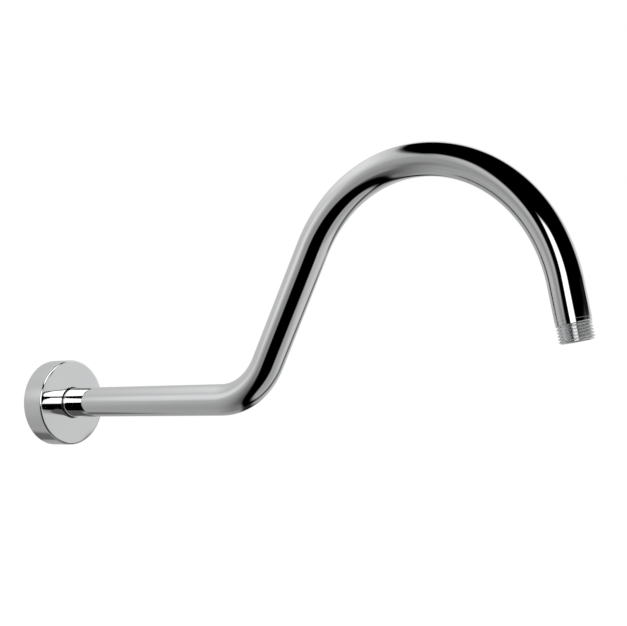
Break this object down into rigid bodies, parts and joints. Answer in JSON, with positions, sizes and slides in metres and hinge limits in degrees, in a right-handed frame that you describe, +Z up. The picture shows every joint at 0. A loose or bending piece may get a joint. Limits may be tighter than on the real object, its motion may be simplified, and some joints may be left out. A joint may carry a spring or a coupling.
{
  "type": "wall shower arm",
  "caption": "Swan-neck wall shower arm: a round tube bent up and over in one plane from a sliding round wall flange, with a threaded outlet that points down.",
  "frame": {"origin": "where the axis of the tube's wall end crosses the wall's surface, which the flange's back rim lies on", "axes": "+X out of the wall along the tube's level run, +Z up, and the whole bend in the plane Y = 0"},
  "size_m": [0.455, 0.0624, 0.1852],
  "materials": {
    "chrome_plate": "mirror-polished chrome plate on brass",
    "black_rubber": "smooth moulded black rubber"
  },
  "bodies": {
    "arm": {"bent_tube": "chrome_plate"},
    "flange": {"wall_flange": "chrome_plate", "flange_o_ring": "black_rubber"}
  },
  "joints": [
    {"name": "flange_slide", "type": "slide", "parent": "arm", "child": "flange", "axis": [1, 0, 0], "range_m": [0, 0.145]}
  ]
}
